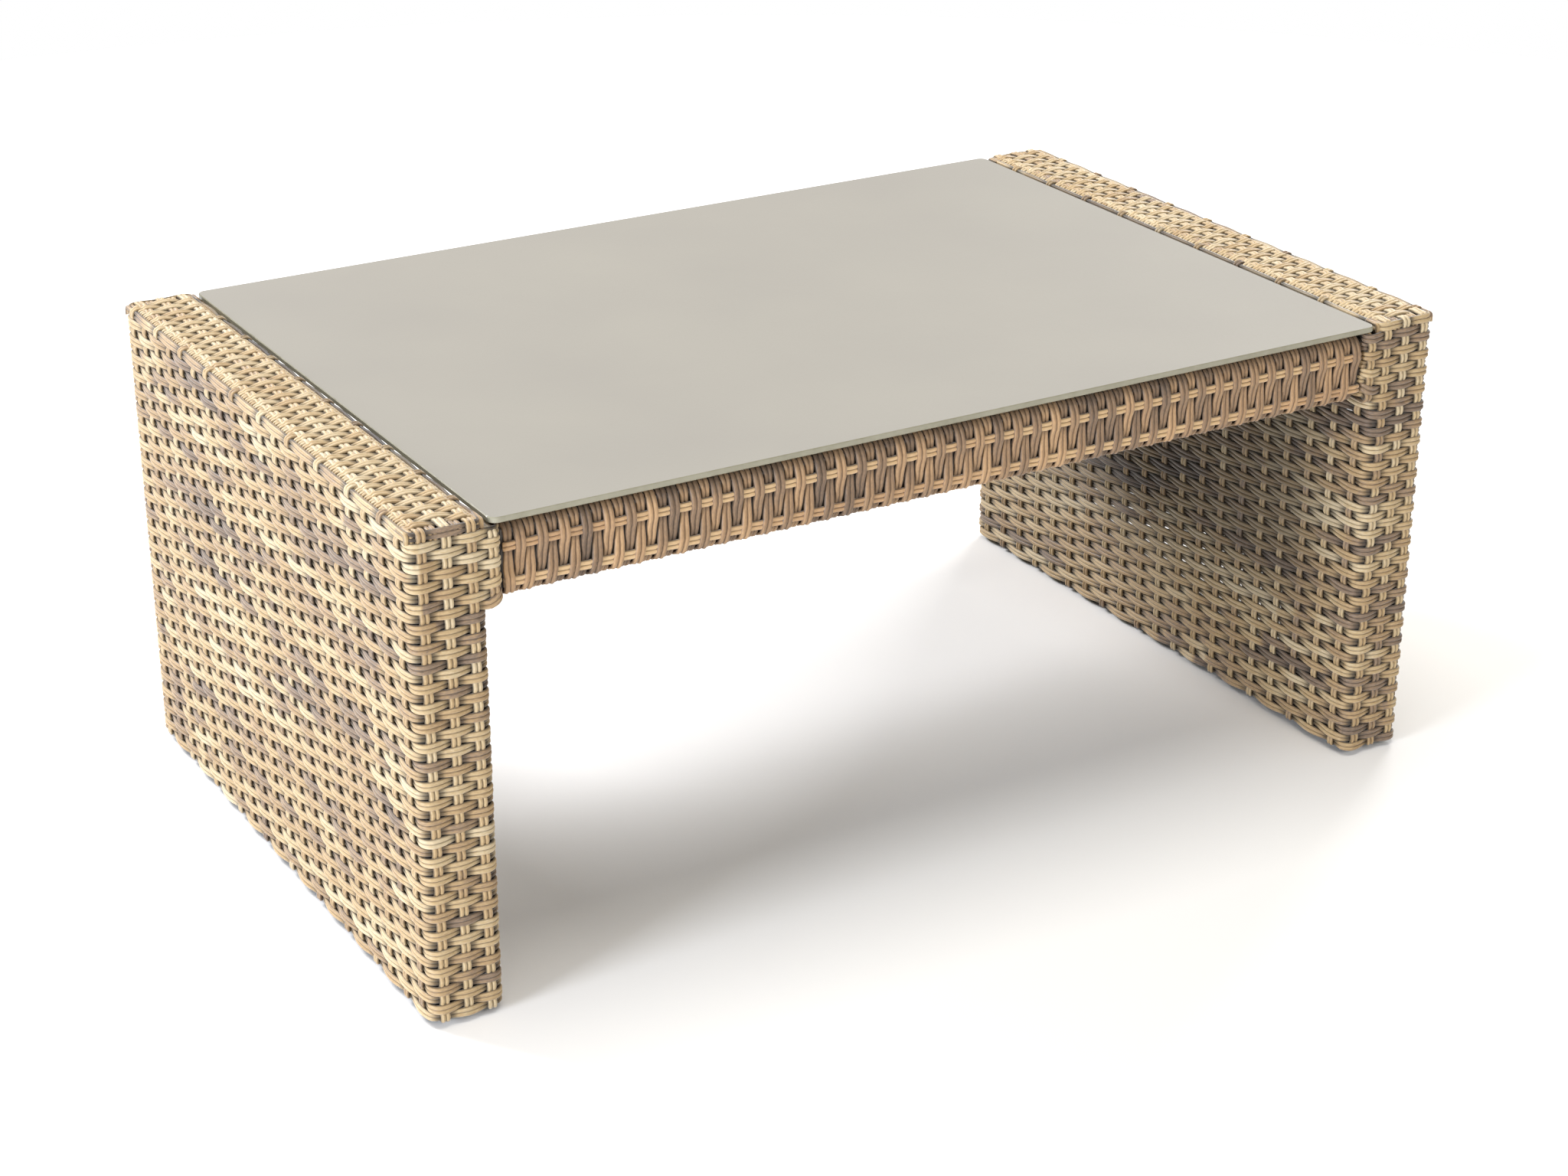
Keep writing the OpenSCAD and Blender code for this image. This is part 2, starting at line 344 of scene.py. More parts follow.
ACROSS, ABOVE = strand_profile()
RING = len(ACROSS)


class Weave:
    """Gathers strands, then makes one object of them."""

    def __init__(self, name, seed):
        self.name = name
        self.rng = np.random.default_rng(seed)
        self.verts, self.loops, self.sizes = [], [], []
        self.tones, self.runs, self.shades = [], [], []
        self.count = 0
        self.strands = 0

    def lay(self, path, outward, tone, width=STRAND_W, closed=False, painted_lightness=1.0):
        """Adds one strand along path, with its ribs towards outward. Its colour takes painted shade by the
        last argument, fully where it is 0.
        """
        if closed:
            ahead = np.roll(path, -1, 0) - np.roll(path, 1, 0)
        else:
            ahead = np.gradient(path, axis=0)
        ahead = unit(ahead)
        across = unit(np.cross(ahead, outward))
        up = np.cross(across, ahead)
        width = np.broadcast_to(width, len(path))
        side = across[:, None] * (ACROSS[None, :, None] * width[:, None, None])
        ring = path[:, None] + side + up[:, None] * ABOVE[None, :, None]
        self.verts.append(ring.reshape(-1, 3))
        run = np.append(0, np.cumsum(np.linalg.norm(np.diff(path, axis=0), axis=1)))
        place = np.empty((len(path), RING, 3))
        place[..., 0] = run[:, None]
        place[..., 1] = ACROSS[None, :] * STRAND_W
        place[..., 2] = self.strands * PATTERN_STEP / MM
        self.runs.append(place.reshape(-1, 3) * MM)
        self.tones.append(np.repeat(tone, RING))
        self.shades.append(np.repeat(np.broadcast_to(painted_lightness, len(path)), RING))
        index = self.count + np.arange(len(path) * RING).reshape(-1, RING)
        if closed:
            index = np.vstack([index, index[:1]])
        near, far = index[:-1], index[1:]
        quads = np.stack([near, np.roll(near, -1, 1), np.roll(far, -1, 1), far], -1)
        self.loops.append(quads.reshape(-1))
        self.sizes.append(np.full(quads.size // 4, 4))
        if not closed:
            self.loops.append(np.concatenate([index[0][::-1], index[-1]]))
            self.sizes.append(np.array([RING, RING]))
        self.count += len(path) * RING
        self.strands += 1

    def build(self, finish, slot, nodes, body="frame"):
        """Makes the mesh, gives it its finish, and sets it on its body."""
        mesh = bpy.data.meshes.new(self.name)
        loops = np.concatenate(self.loops).astype(np.int32)
        sizes = np.concatenate(self.sizes).astype(np.int32)
        mesh.vertices.add(self.count)
        mesh.vertices.foreach_set("co", (np.concatenate(self.verts) * MM).astype(np.float32).ravel())
        mesh.loops.add(len(loops))
        mesh.loops.foreach_set("vertex_index", loops)
        mesh.polygons.add(len(sizes))
        mesh.polygons.foreach_set("loop_start", np.append(0, np.cumsum(sizes)[:-1]).astype(np.int32))
        mesh.update(calc_edges=True)
        tone = mesh.attributes.new("tone", "FLOAT", "POINT")
        tone.data.foreach_set("value", np.concatenate(self.tones).astype(np.float32))
        lightness = mesh.attributes.new("painted_lightness", "FLOAT", "POINT")
        lightness.data.foreach_set("value", np.concatenate(self.shades).astype(np.float32))
        strand = mesh.attributes.new("strand", "FLOAT_VECTOR", "POINT")
        strand.data.foreach_set("vector", np.concatenate(self.runs).astype(np.float32).ravel())
        mesh.shade_smooth()
        mesh.validate()
        return show(self.name, mesh, finish, nodes, body)


def show(name, mesh, finish, nodes, body):
    """Puts a mesh in the scene in place of CAD nodes, on a body."""
    piece = bpy.data.objects.new(name, mesh)
    bpy.context.scene.collection.objects.link(piece)
    mesh.materials.append(finish)
    if nodes:
        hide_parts(*nodes)
    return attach(piece, body)


# ---- Panels ----

def panel_space(side, o, y, z):
    """World place of a point that is o outwards from a panel's middle."""
    return np.stack(np.broadcast_arrays(side * (PANEL_X + o), y, z), -1)


def row_z(row):
    """Height of a row's middle, counted down from the top one."""
    return ROW_TOP_Z - row * (ROW_TOP_Z - ROW_LOW_Z) / (ROWS - 1)


def side_stake_y():
    """Places of the side stakes, front to back."""
    return np.linspace(-SIDE_STAKE_Y, SIDE_STAKE_Y, SIDE_STAKES)


def plain_round():
    """Outline of a row round a panel, with the stakes that it crosses."""
    reach = END_Y - SKIN
    r = CORNER_R - SKIN
    line = Outline(
        [(-LEVEL, -reach), (-LEVEL, reach), (LEVEL, reach), (LEVEL, -reach)],
        [r] * 4,
    )
    places = [(o, -reach) for o in END_STAKES]
    places += [(-LEVEL, y) for y in side_stake_y()]
    places += [(o, reach) for o in reversed(END_STAKES)]
    places += [(LEVEL, y) for y in side_stake_y()[::-1]]
    return line, np.array([line.nearest(*p) for p in places])


def stub_round():
    """Outline of a row that also runs round both apron stubs."""
    reach = END_Y - SKIN
    end = PANEL_X - stub_low[0] - SKIN + STUB_END_OUT
    back = reach - (stub_high[1] - stub_low[1]) + 2 * SKIN
    r = CORNER_R - SKIN
    line = Outline(
        [(-end, -reach), (-end, -back), (-LEVEL, -back), (-LEVEL, back), (-end, back), (-end, reach),
         (LEVEL, reach), (LEVEL, -reach)],
        [STUB_R, STUB_R, STUB_ROOT_R, STUB_ROOT_R, STUB_R, STUB_R, r, r],
    )
    ys = side_stake_y()[1:-1]
    middle = (reach + back) / 2
    places = [(o, -reach) for o in END_STAKES]
    places += [(-RING_STAKE_X, -reach), (-end, -middle), (-RING_STAKE_X, -back)]
    places += [(-LEVEL, y) for y in ys]
    places += [(-RING_STAKE_X, back), (-end, middle), (-RING_STAKE_X, reach)]
    places += [(o, reach) for o in reversed(END_STAKES)]
    places += [(LEVEL, y) for y in side_stake_y()[::-1]]
    return line, np.array([line.nearest(*p) for p in places])


def under_top(y, z):
    """How deep a place on a panel's inner face lies in the dim space under the glass, from 0 to 1, for its
    painted shade.
    """
    return smooth(*DIM_Z, z) * smooth(*DIM_Y, np.abs(y))


def weft_rows(side, parity, seed, finish, nodes):
    """The horizontal strands round one panel, in an upper and a lower piece."""
    name = SIDE_NAMES[side]
    plain, stubbed = plain_round(), stub_round()
    halves = (Weave(f"{name}_weft_rows_upper", seed), Weave(f"{name}_weft_rows_lower", seed + 1))
    dyed = dye_rows(np.random.default_rng(seed + 2), ROWS, plain[0].length)
    for row in range(ROWS):
        weave = halves[0] if row < ROWS // 2 else halves[1]
        line, marks = stubbed if row in STUB_ROWS else plain
        turns = len(marks)
        wide_s = np.concatenate([marks[-1:] - line.length, marks, marks[:1] + line.length])
        wide_phase = np.arange(-1, turns + 1)
        ends = np.array([0, line.length])
        known = np.concatenate([ends[:1], marks, ends[1:]])
        s = line.stations(known, np.interp(known, wide_s, wide_phase), *ROW_RINGS)[:-1]
        phase = np.interp(s, wide_s, wide_phase)
        wave = -np.cos(np.pi * (phase + row + parity))
        point, normal = line.at(s)
        o, y = point[:, 0], point[:, 1]
        z = row_z(row) + wander(weave.rng, s, line.length, *ROW_DRIFT)
        swing = WEFT_SWING + wander(weave.rng, s, line.length, *ROW_SWING_DRIFT)
        depth = wave * swing
        out = np.column_stack([side * normal[:, 0], normal[:, 1], np.zeros(len(s))])
        if row == 0:
            depth = wave * np.where(wave < 0, TOP_ROW_DIP, TOP_ROW_RISE) - TOP_ROW_SINK
            out = out * math.cos(TOP_ROW_LEAN)
            out[:, 2] = math.sin(TOP_ROW_LEAN)
        if row in STUB_ROWS:
            along = np.clip((-o - LEVEL) / STUB_RUN, 0, 1)
            z = z + STUB_RISE * (row / LAST_STUB_ROW) ** 3 * along ** 2
        width = ROW_W * (1 - PINCH * (0.5 - 0.5 * wave))
        path = panel_space(side, o + normal[:, 0] * depth, y + normal[:, 1] * depth, z)
        where, tones = dyed[row]
        tone = np.interp(s, where, tones, period=plain[0].length)
        # Painted shade on the inner face under the glass, on top of the painted shade where the strand
        # dives.
        dim = ROW_PAINTED_SHADE * under_top(y, z) * smooth(*INNER_FACING, -normal[:, 0])
        weave.lay(path, out, tone, width, closed=True, painted_lightness=painted_dive_lightness(wave) * (1 - dim))
    for weave in halves:
        weave.build(finish, "panel_strand", nodes)


def tie_end():
    """Height and distance out of a tie above the second row, up to where it tucks in."""
    hub_o, hub_z = LEVEL - TIE_HUB_IN, TOP_Z - SKIN - TIE_HUB_DOWN
    steps = [(LEVEL + 1.1, ROW_TOP_Z - 2.5), (LEVEL + 1.1, ROW_TOP_Z), (LEVEL + 0.7, ROW_TOP_Z + 2.0)]
    for turn, reach in TIE_BEND:
        a = math.radians(turn)
        steps.append((hub_o + reach * math.cos(a), hub_z + reach * math.sin(a)))
    return np.array(steps)


def side_stakes(side, parity, seed, finish, nodes):
    """The upright strands on both broad faces of one panel."""
    name = SIDE_NAMES[side]
    for face, word in ((1, "outer"), (-1, "inner")):
        weave = Weave(f"{name}_{word}_stakes", seed + face)
        for k, y in enumerate(side_stake_y()):
            # Each stake's place in the round that a plain row makes of the ends and the broad faces.
            before = len(END_STAKES) if face < 0 else 2 * len(END_STAKES) + SIDE_STAKES
            index = before + (k if face < 0 else SIDE_STAKES - 1 - k)
            stub = face < 0 and k in (0, SIDE_STAKES - 1)
            last = LAST_STUB_ROW + 1 if stub else 0
            tie = not stub and (index + parity) % 2 == 0
            first = ROWS - 1 + STAKE_FOOT
            stop = last - 0.2 if stub else (0.5 if tie else -0.2)
            steps = int((first - stop) * 4)
            row = np.linspace(first, stop, steps)
            depth = LEVEL + STAKE_SWING * over_under(row + index + parity)
            z = row_z(row)
            if stop < 0:
                depth = depth - 0.5 * smooth(1, 0, row)
            if tie:
                ending = tie_end()
                depth = np.append(depth, ending[:, 0])
                z = np.append(z, ending[:, 1])
            sway = y + wander(weave.rng, z, STAKE_DYE, *STAKE_DRIFT)
            path = panel_space(side, face * depth, sway, z)
            slope = np.gradient(np.column_stack([depth, z]), axis=0)
            out = np.column_stack([side * face * slope[:, 1], np.zeros(len(z)), -slope[:, 0]])
            tone = dye(weave.rng, z, STAKE_DYE)
            # Painted shade on the inner face under the glass.
            dim = STAKE_PAINTED_SHADE * under_top(sway, z) if face < 0 else 0.0
            weave.lay(path, unit(out), tone, SIDE_STAKE_W, painted_lightness=1 - dim)
        weave.build(finish, "panel_strand", nodes)


def arch_outline():
    """Outline up a panel's front, over its top and down its back, in y and z."""
    reach, top = END_Y - SKIN, TOP_Z - SKIN
    r = TOP_EDGE_R - SKIN
    corners = [(-reach, FOOT_Z), (-reach, top), (reach, top), (reach, FOOT_Z)]
    return Outline(corners, [0, r, r, 0], closed=False)


def top_weft_y():
    """Places of the strands across the top, front to back."""
    return np.linspace(-TOP_WEFT_Y, TOP_WEFT_Y, TOP_WEFTS)


def arch_stakes(side, parity, seed, finish, nodes):
    """The three long strands that go up a panel's front, over its top and down its back."""
    name = SIDE_NAMES[side]
    weave = Weave(f"{name}_arch_stakes", seed)
    line = arch_outline()
    reach, top = END_Y - SKIN, TOP_Z - SKIN
    marks = [line.nearest(-reach, row_z(r)) for r in range(ROWS - 1, -1, -1)]
    marks += [line.nearest(y, top) for y in top_weft_y()]
    marks += [line.nearest(reach, row_z(r)) for r in range(ROWS)]
    marks = np.array(marks)
    phases = np.arange(ROWS - 1, ROWS - 1 - len(marks), -1)
    known = np.concatenate([[0.5], marks, [line.length - 0.5]])
    known_phase = np.concatenate([[phases[0] + 0.4], phases, [phases[-1] - 0.4]])
    for j, o in enumerate(END_STAKES):
        s = line.stations(known, known_phase, *ARCH_RINGS)
        depth = STAKE_SWING * over_under(np.interp(s, known, known_phase) + j + parity)
        point, normal = line.at(s)
        high_up = smooth(ROW_TOP_Z, top, point[:, 1])
        far_out = smooth(TOP_WEFT_Y + 4, reach - 2, np.abs(point[:, 0]))
        depth = depth + high_up * far_out * (EDGE_DEPTH - depth)
        point = point + normal * depth[:, None]
        sway = o + wander(weave.rng, s, line.length, *ARCH_DRIFT)
        path = panel_space(side, sway, point[:, 0], point[:, 1])
        out = np.column_stack([np.zeros(len(s)), normal])
        weave.lay(path, out, dye(weave.rng, s, line.length, ARCH_PALE), ARCH_STAKE_W)
    weave.build(finish, "panel_strand", nodes)


def edge_stubs(side, seed, finish, nodes):
    """Short strands in the gaps between the arch stakes, over the front and back top edges."""
    name = SIDE_NAMES[side]
    weave = Weave(f"{name}_edge_fillers", seed)
    line = arch_outline()
    start = line.nearest(-(END_Y - SKIN), ROW_TOP_Z - FILLER_FOOT_DOWN)
    for end in (FRONT, BACK):
        for o in FILLER_PLACES:
            s = np.linspace(start, start + FILLER_LENGTH, 15)
            point, normal = line.at(s)
            inset = FILLER_CORNER_IN if abs(o) > FILLER_CORNER_FROM else 0.0
            point = point - normal * FILLER_SINK
            path = panel_space(side, o, -end * (point[:, 0] + inset), point[:, 1])
            out = np.column_stack([np.zeros(len(s)), -end * normal[:, 0], normal[:, 1]])
            weave.lay(path, out, dye(weave.rng, s, FILLER_DYE, FILLER_PALE), FILLER_W)
    weave.build(finish, "panel_strand", nodes)


def top_wefts(side, parity, seed, finish, nodes):
    """The short strands across a panel's top, with their ends tucked behind the first row."""
    name = SIDE_NAMES[side]
    weave = Weave(f"{name}_top_wefts", seed)
    top = TOP_Z - SKIN
    reach = LEVEL - TOP_WEFT_INSET
    low, bend = ROW_TOP_Z - TUCK_END_DOWN, ROW_TOP_Z - TUCK_BEND_DOWN
    line = Outline(
        [(-reach + TUCK_IN, low), (-reach, bend), (-reach, top),
         (reach, top), (reach, bend), (reach - TUCK_IN, low)],
        [0, TUCK_R, TOP_WEFT_R, TOP_WEFT_R, TUCK_R, 0],
        closed=False,
    )
    inner = line.nearest(-reach + TOP_WEFT_CROSSING, top)
    outer = line.nearest(reach - TOP_WEFT_CROSSING, top)
    stakes = [line.nearest(o, top) for o in reversed(END_STAKES)]
    known = np.array([0, inner, *stakes, outer, line.length])
    known_phase = np.array([2.5, 2.5, 2, 1, 0, -0.5, -0.5])
    for m, y in enumerate(top_weft_y(), 1):
        s = line.stations(known, known_phase, *TOP_RINGS)
        wave = -np.cos(np.pi * (np.interp(s, known, known_phase) - m + parity))
        point, normal = line.at(s)
        swing = TOP_SWING + wander(weave.rng, s, line.length, *TOP_SWING_DRIFT)
        point = point + normal * (wave * swing)[:, None]
        sway = y + wander(weave.rng, s, line.length, *TOP_DRIFT)
        path = panel_space(side, point[:, 0], sway, point[:, 1])
        out = np.column_stack([side * normal[:, 0], np.zeros(len(s)), normal[:, 1]])
        width = TOP_WEFT_W * (1 - PINCH * (0.5 - 0.5 * wave))
        dyed = dye(weave.rng, s + weave.rng.uniform(0, TOP_DYE), TOP_DYE, TOP_PALE)
        tone = TOP_TONE_LOW + TOP_TONE_RANGE * dyed
        # Painted shade where the strand dives.
        weave.lay(path, out, tone, width, painted_lightness=painted_dive_lightness(wave))
    weave.build(finish, "panel_strand", nodes)


def ring_stakes(side, parity, seed, finish, nodes):
    """One strand round each stub, crossing the rows that run out round it."""
    name = SIDE_NAMES[side]
    weave = Weave(f"{name}_stub_rings", seed)
    for end in (FRONT, BACK):
        far = END_Y - SKIN
        near = far - (stub_high[1] - stub_low[1]) + 2 * SKIN
        top = apron_high[2] + RING_OVER_APRON - SKIN
        low = row_z(LAST_STUB_ROW) - RING_UNDER_ROW
        line = Outline([(far, low), (far, top), (near, top), (near, low)], [RING_STAKE_R] * 4, outward=-1)
        heights = {r: row_z(r) + RING_RISE * (r / LAST_STUB_ROW) ** 3 for r in STUB_ROWS}
        places = [(far, heights[r]) for r in reversed(STUB_ROWS)]
        places += [(near, heights[r]) for r in STUB_ROWS]
        marks = np.array([line.nearest(*p) for p in places])
        phases = np.array([-r for r in reversed(STUB_ROWS)] + list(STUB_ROWS))
        edge = LAST_STUB_ROW + 0.4
        known = np.concatenate([[0], marks, [line.length]])
        known_phase = np.concatenate([[-edge], phases, [edge]])
        order = np.argsort(known)
        s = line.stations(known[order], known_phase[order], *ARCH_RINGS)[:-1]
        wave = np.cos(np.pi * (np.interp(s, known[order], known_phase[order]) + 3 + parity))
        point, normal = line.at(s)
        point = point + normal * (STAKE_SWING * wave)[:, None]
        path = panel_space(side, np.full(len(s), -RING_STAKE_X), end * point[:, 0], point[:, 1])
        out = np.column_stack([np.zeros(len(s)), end * normal[:, 0], normal[:, 1]])
        weave.lay(path, out, dye(weave.rng, s, line.length), STRAND_W, closed=True)
    weave.build(finish, "panel_strand", nodes)


# ---- Aprons ----
APRON_Y_OUT = abs(rail_low[1] + rail_high[1]) / 2
APRON_Z = (rail_low[2] + rail_high[2]) / 2
TUBE_HALF_Y = (rail_high[1] - rail_low[1]) / 2
# The outline that the wraps follow: half its height, and its radii at the top and the bottom.
WRAP_HALF_Z = (apron_high[2] - apron_low[2]) / 2 - RIB_TOP
WRAP_TOP_R = 9
WRAP_LOW_R = 6
# The wraps: their width, their places along the apron, and how far their middle may reach.
WRAP_W = 9.4
WRAP_PITCH = 9.5
WRAPS = int(2 * apron_high[0] / WRAP_PITCH)
WRAP_REACH = apron_high[0] - WRAP_W / 2 - 0.5
WRAP_RINGS = 22
RINGS_PER_BEND = 1.9
# Distances out from the tube: a wrap on the tube, a runner, and a wrap over a runner.
WRAP_LEVEL = 0.9
RUNNER_LEVEL = 2.9
RUNNER_SWING = 0.55
RUNNER_W = STRAND_W - 0.3
WRAP_OVER = 4.1
# Heights of the runners from the tube's middle, and how far from one a wrap starts to rise over it.
RUNNER_UP, RUNNER_DOWN = 11.5, -18.5
RISE_REACH = 13
# A wrap draws in beside the runner that it passes under, which leaves dark gaps.
DRAW_FROM, DRAW_FULL = 20, 4
DRAW_IN = 0.24
# Painted shade: how much darker a wrap is under a runner, and at the top, where the glass covers it.
UNDER_RUNNER_SHADE = 0.85
UNDER_GLASS_SHADE = 0.5
WRAP_DRIFT = 0.4


def apron_wraps(end, seed, finish, nodes):
    """The strand that is wound round one apron, over one runner and under the other in turn."""
    name = END_NAMES[end]
    weave = Weave(f"{name}_apron_wraps", seed)
    half_y, half_z = TUBE_HALF_Y + WRAP_LEVEL, WRAP_HALF_Z
    line = Outline(
        [(half_y, half_z), (half_y, -half_z), (-half_y, -half_z), (-half_y, half_z)],
        [WRAP_TOP_R, WRAP_LOW_R, WRAP_LOW_R, WRAP_TOP_R],
    )
    length = line.length
    s = line.stations(np.array([0, length]), np.array([0, WRAP_RINGS]), 1.0, RINGS_PER_BEND)[:-1]
    point, normal = line.at(s)
    upright = np.abs(normal[:, 0]) > 0.7
    z = point[:, 1]
    tucked = smooth(half_z - 9, half_z - 2, z) * (point[:, 0] > 0)
    # A wrap stays upright on its outer face, and moves on to its next place under the apron and behind.
    turning = [0, line.nearest(half_y, -8), line.nearest(half_y - 3, -half_z), length]
    shift = WRAP_PITCH * np.interp(s, turning, [0, 0.04, 0.55, 1])
    x_path, o_path, z_path, n_path, w_path, lightness_path = [], [], [], [], [], []
    span = (WRAPS - 1) * WRAP_PITCH
    for k in range(WRAPS):
        ridden, passed = (RUNNER_UP, RUNNER_DOWN) if k % 2 == 0 else (RUNNER_DOWN, RUNNER_UP)
        near_ridden = 1 - np.clip(np.abs(z - ridden) / RISE_REACH, 0, 1)
        near_passed = 1 - np.clip(np.abs(z - passed) / RISE_REACH, 0, 1)
        bump = smooth(0, 0.8, near_ridden) * (WRAP_OVER - WRAP_LEVEL) * upright
        under = smooth(0.3, 1, near_passed) * upright
        drawn = smooth(DRAW_FROM, DRAW_FULL, np.abs(z - passed)) * upright
        drift = weave.rng.uniform(-WRAP_DRIFT, WRAP_DRIFT)
        x = span / 2 - k * WRAP_PITCH - shift + drift * np.sin(np.pi * s / length)
        x_path.append(np.maximum(x, -WRAP_REACH))
        o_path.append(point[:, 0] + normal[:, 0] * bump)
        z_path.append(z + normal[:, 1] * bump)
        n_path.append(normal)
        w_path.append(WRAP_W * (1 - DRAW_IN * drawn))
        # Painted shade under the runner that a wrap passes, and at its top under the glass.
        lightness_path.append((1 - UNDER_RUNNER_SHADE * under) * (1 - UNDER_GLASS_SHADE * tucked))
    x, o, z = np.concatenate(x_path), np.concatenate(o_path), np.concatenate(z_path)
    normals, width = np.concatenate(n_path), np.concatenate(w_path)
    place = np.column_stack([x * -end, end * (APRON_Y_OUT + o), APRON_Z + z])
    out = np.column_stack([np.zeros(len(x)), end * normals[:, 0], normals[:, 1]])
    run = np.append(0, np.cumsum(np.linalg.norm(np.diff(place, axis=0), axis=1)))
    tone = dye(weave.rng, run, run[-1] + 1, WRAP_PALE)
    weave.lay(place, out, tone, width, painted_lightness=np.concatenate(lightness_path))
    weave.build(finish, "apron_strand", nodes)


def apron_runners(end, seed, finish, nodes):
    """The four straight strands along one apron that the wraps go over and under."""
    name = END_NAMES[end]
    weave = Weave(f"{name}_apron_runners", seed)
    reach = apron_high[0] - 0.6
    for face in (1, -1):
        for which, height in enumerate((RUNNER_UP, RUNNER_DOWN)):
            x = np.linspace(-reach, reach, WRAPS * 2 + 1)
            turn = ((WRAPS - 1) / 2 * WRAP_PITCH - x) / WRAP_PITCH
            wave = np.cos(np.pi * (turn + which))
            out = TUBE_HALF_Y + RUNNER_LEVEL - RUNNER_SWING * wave
            z = height + wander(weave.rng, x + reach, 2 * reach, *RUNNER_DRIFT)
            path = np.column_stack([x * -end, end * (APRON_Y_OUT + face * out), APRON_Z + z])
            normal = np.tile([0.0, end * face, 0.0], (len(x), 1))
            tone = dye(weave.rng, x + reach, 2 * reach, RUNNER_PALE)
            weave.lay(path, normal, tone, RUNNER_W)
    weave.build(finish, "apron_strand", nodes)


# ---- Glass and bumpers ----
GLASS_CORNER = 8 * MM
GLASS_ARRIS = 0.7 * MM
CORNER_STEPS = 8
BUMPERS_A_SIDE = 5
BUMPER_STEPS = 24
# A bumper's outline as parts of its radius and its height.
BUMPER_OUTLINE = ((1.0, 0.0), (1.0, 0.35), (0.95, 0.62), (0.82, 0.84), (0.6, 0.96), (0.3, 1.0))


def rounded_plate(name, low, high, corner, arris):
    """A flat plate with round corners in plan and a small polished arris all round."""
    bm = bmesh.new()
    levels = [(low.z, arris), (low.z + arris, 0), (high.z - arris, 0), (high.z, arris)]
    rings = []
    for z, inset in levels:
        ring = []
        for sx, sy, first in ((1, 1, 0), (-1, 1, 90), (-1, -1, 180), (1, -1, 270)):
            hub_x = (high.x - corner) if sx > 0 else (low.x + corner)
            hub_y = (high.y - corner) if sy > 0 else (low.y + corner)
            for step in range(CORNER_STEPS + 1):
                a = math.radians(first + step * 90 / CORNER_STEPS)
                r = corner - inset
                ring.append(bm.verts.new((hub_x + r * math.cos(a), hub_y + r * math.sin(a), z)))
        rings.append(ring)
    count = len(rings[0])
    for lower, upper in zip(rings, rings[1:]):
        for i in range(count):
            side = bm.faces.new((lower[i], lower[(i + 1) % count], upper[(i + 1) % count], upper[i]))
            side.material_index = 1
    bm.faces.new(list(reversed(rings[0])))
    bm.faces.new(rings[-1])
    mesh = bpy.data.meshes.new(name)
    bm.to_mesh(mesh)
    bm.free()
    return mesh


def glass_sheet(face, edge):
    """The loose glass, backed with grey, with a clear polished edge."""
    low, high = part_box("glass_top")
    mesh = rounded_plate("glass_sheet", low, high, GLASS_CORNER, GLASS_ARRIS)
    sheet = show("glass_sheet", mesh, face, ["glass_top"], "glass")
    mesh.materials.append(edge)
    return sheet


def bumper_dots(finish):
    """Ten soft domes on the aprons, under the glass."""
    bm = bmesh.new()
    radius = (bumper_high[1] - bumper_low[1]) / 2 - APRON_Y_OUT
    low_z, high_z = bumper_low[2], bumper_high[2]
    reach = bumper_high[0] - radius
    for y in (-APRON_Y_OUT, APRON_Y_OUT):
        for x in np.linspace(-reach, reach, BUMPERS_A_SIDE):
            rings = []
            for wide, tall in BUMPER_OUTLINE:
                z = (low_z + (high_z - low_z) * tall) * MM
                ring = []
                for i in range(BUMPER_STEPS):
                    a = 2 * math.pi * i / BUMPER_STEPS
                    across = x + radius * wide * math.cos(a)
                    along = y + radius * wide * math.sin(a)
                    ring.append(bm.verts.new((across * MM, along * MM, z)))
                rings.append(ring)
            for lower, upper in zip(rings, rings[1:]):
                for i in range(BUMPER_STEPS):
                    j = (i + 1) % BUMPER_STEPS
                    bm.faces.new((lower[i], lower[j], upper[j], upper[i]))
            bm.faces.new(list(reversed(rings[0])))
            bm.faces.new(rings[-1])
    mesh = bpy.data.meshes.new("clear_bumpers")
    bm.to_mesh(mesh)
    bm.free()
    mesh.shade_smooth()
    return show("clear_bumpers", mesh, finish, ["glass_bumpers"], "frame")


# ---- Materials: pattern scales are counts to the metre ----
# Streaks 14 mm long and 0.7 mm wide, and mottling 3 mm long and 1.1 mm wide. Each strand has its own.
STREAKS = (70.0, 1500.0, 1.0)
MOTTLES = (330.0, 900.0, 1.0)
# The groove between the ribs and the turned-in edges, in metres from the strand's middle.
GROOVE_INNER, GROOVE_OUTER = 0.0001, 0.0006
EDGE_INNER, EDGE_OUTER = 0.0032, 0.004
# Parts of the light colour that stay under painted shade in the groove, along the edges, and where a strand
# dives.
GROOVE_SHADE = 0.5
EDGE_SHADE = 0.4
DIVE_SHADE = 0.12
# How far the grain moves a strand's tone.
GRAIN_REACH = 0.55

# Colours of the strands from grey-brown to cream, as (tone, hex code).
PANEL_TONES = (
    (0.08, "#6E5C4B"),
    (0.28, "#86705A"),
    (0.45, "#A0845F"),
    (0.62, "#AF946B"),
    (0.8, "#BAA37C"),
    (0.97, "#C4B291"),
)
WRAP_TONES = ((0.05, "#6A5644"), (0.35, "#8A6F54"), (0.6, "#A3825F"), (0.95, "#BE9A71"))
RUNNER_TONES = ((0.05, "#A28160"), (0.5, "#BE986E"), (0.95, "#CFAF83"))


def linear(code):
    """Linear colour with alpha from an sRGB hex code."""
    made = []
    for i in (1, 3, 5):
        c = int(code[i:i + 2], 16) / 255
        made.append(c / 12.92 if c <= 0.04045 else ((c + 0.055) / 1.055) ** 2.4)
    return (*made, 1.0)


def new_finish(name):
    """A material with only its output, and its node tree."""
    finish = bpy.data.materials.new(name)
    finish.use_nodes = True
    tree = finish.node_tree
    tree.nodes.clear()
    return finish, tree


